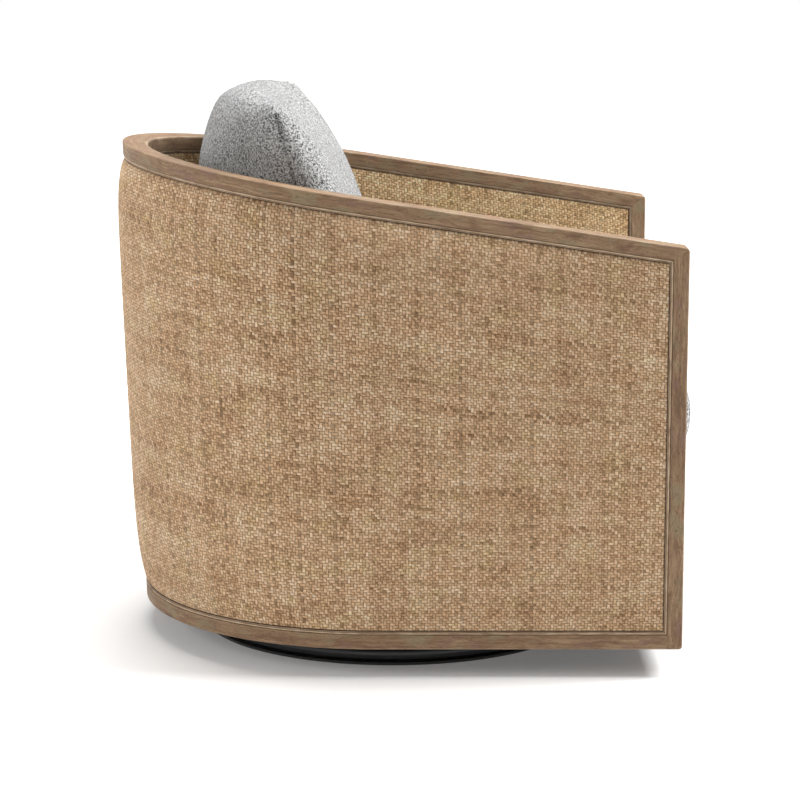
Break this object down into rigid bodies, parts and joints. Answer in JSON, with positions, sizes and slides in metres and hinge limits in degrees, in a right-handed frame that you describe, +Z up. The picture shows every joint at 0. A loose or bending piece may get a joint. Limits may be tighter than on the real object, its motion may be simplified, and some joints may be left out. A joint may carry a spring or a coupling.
{
  "type": "swivel rocker",
  "caption": "Barrel swivel rocker: U-shaped wood-framed shell with woven cane panels, thick seat cushion, loose back pillow and a low round metal swivel base.",
  "frame": {"origin": "on the floor, on the swivel axis, at the middle of the base ring", "axes": "+Z up, -Y the front that the sitter faces, +X the sitter's left"},
  "size_m": [0.7456, 0.8531, 0.8267],
  "materials": {
    "oak": "matte",
    "oak_bead": "matte",
    "cane": "matte",
    "plywood": "matte",
    "frame_timber": "matte",
    "boucle": "matte",
    "padding": "matte",
    "dust_cloth": "matte",
    "black_steel": "satin",
    "bright_steel": "satin",
    "plastic": "matte",
    "rubber": "matte"
  },
  "bodies": {
    "base": {"floor_glide": "plastic", "base_ring": "black_steel", "base_arms": "black_steel", "hub_plate": "black_steel", "lower_race": "bright_steel", "race_rivets": "bright_steel", "bearing_balls": "bright_steel", "king_bolt": "bright_steel", "king_nut": "bright_steel"},
    "turntable": {"upper_race": "bright_steel", "swivel_plate": "black_steel", "lower_bracket_left": "black_steel", "lower_bracket_right": "black_steel", "bracket_bolts": "bright_steel", "lower_spring_cups": "black_steel", "pivot_bushes": "plastic", "rocker_spring_front_left": "bright_steel", "rocker_spring_front_right": "bright_steel", "rocker_spring_rear_left": "bright_steel", "rocker_spring_rear_right": "bright_steel"},
    "chair": {"apron_board": "plywood", "apron_cover": "boucle", "back_cushion_cover": "boucle", "back_cushion_fill": "padding", "bottom_rail_back": "oak", "bottom_rail_front": "oak", "bottom_rail_left": "oak", "bottom_rail_right": "oak", "corner_blocks": "frame_timber", "cross_rail_front": "frame_timber", "cross_rail_rear": "frame_timber", "dust_cover": "dust_cloth", "front_post_left": "oak", "front_post_right": "oak", "inner_bead": "oak_bead", "inner_cane_panel": "cane", "mounting_bolts": "bright_steel", "outer_bead": "oak_bead", "outer_cane_panel": "cane", "pivot_pins": "bright_steel", "rear_deck": "plywood", "rock_stops": "rubber", "seat_cushion_cover": "boucle", "seat_cushion_foam": "padding", "seat_deck": "padding", "seat_rail_front": "frame_timber", "seat_rail_left": "frame_timber", "seat_rail_rear": "frame_timber", "seat_rail_right": "frame_timber", "shell_board_back": "plywood", "shell_board_left": "plywood", "shell_board_right": "plywood", "spring_clips": "bright_steel", "top_rail_back": "oak", "top_rail_left": "oak", "top_rail_right": "oak", "upper_bracket_left": "black_steel", "upper_bracket_right": "black_steel", "upper_spring_cups": "black_steel", "zigzag_springs": "bright_steel"}
  },
  "joints": [
    {"name": "swivel", "type": "hinge", "parent": "base", "child": "turntable", "pos_m": [0, 0, 0.032], "axis": [0, 0, 1], "continuous": true},
    {"name": "rock", "type": "hinge", "parent": "turntable", "child": "chair", "pos_m": [0, 0, 0.112], "axis": [1, 0, 0], "range_deg": [-4.5, 4.5], "stiffness_Nm_per_rad": 1200, "springref_deg": 0.34, "deforming": ["rocker_spring_front_left", "rocker_spring_front_right", "rocker_spring_rear_left", "rocker_spring_rear_right"]}
  ]
}
